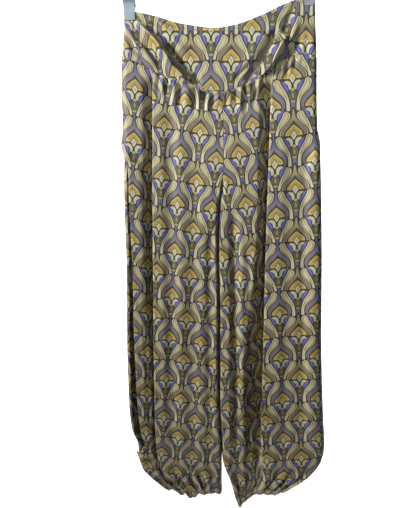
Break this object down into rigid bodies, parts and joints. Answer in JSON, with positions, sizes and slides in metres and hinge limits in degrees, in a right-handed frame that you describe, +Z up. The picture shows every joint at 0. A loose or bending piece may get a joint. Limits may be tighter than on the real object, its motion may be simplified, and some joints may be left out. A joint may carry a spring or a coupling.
{
  "type": "tulip trousers on a clip hanger",
  "caption": "Wide tulip trousers with a scooped yoke, gathered legs, side slits and gathered ankles, hanging flat by the waist from a clip hanger.",
  "frame": {"origin": "the underside of the hook's top, where the hanger rests on its rail", "axes": "+Z up, -Y out of the trousers' front, +X towards the wearer's left"},
  "size_m": [0.4251, 0.051, 1.1915],
  "materials": {
    "printed_cloth": "soft satin jersey printed all over in olive, khaki, mustard and violet",
    "clip_plastic": "smooth pale grey plastic",
    "hanger_wire": "bright steel wire"
  },
  "bodies": {
    "root": {"yoke_front": "printed_cloth", "yoke_back": "printed_cloth", "leg_right_front": "printed_cloth", "leg_right_back": "printed_cloth", "leg_left_front": "printed_cloth", "leg_left_back": "printed_cloth", "ankle_casing_right": "printed_cloth", "ankle_casing_left": "printed_cloth", "hanger_hook": "hanger_wire", "hanger_rod": "hanger_wire", "clip_right_front": "clip_plastic", "clip_right_back": "clip_plastic", "clip_right_pin": "hanger_wire", "clip_left_front": "clip_plastic", "clip_left_back": "clip_plastic", "clip_left_pin": "hanger_wire"}
  },
  "joints": []
}
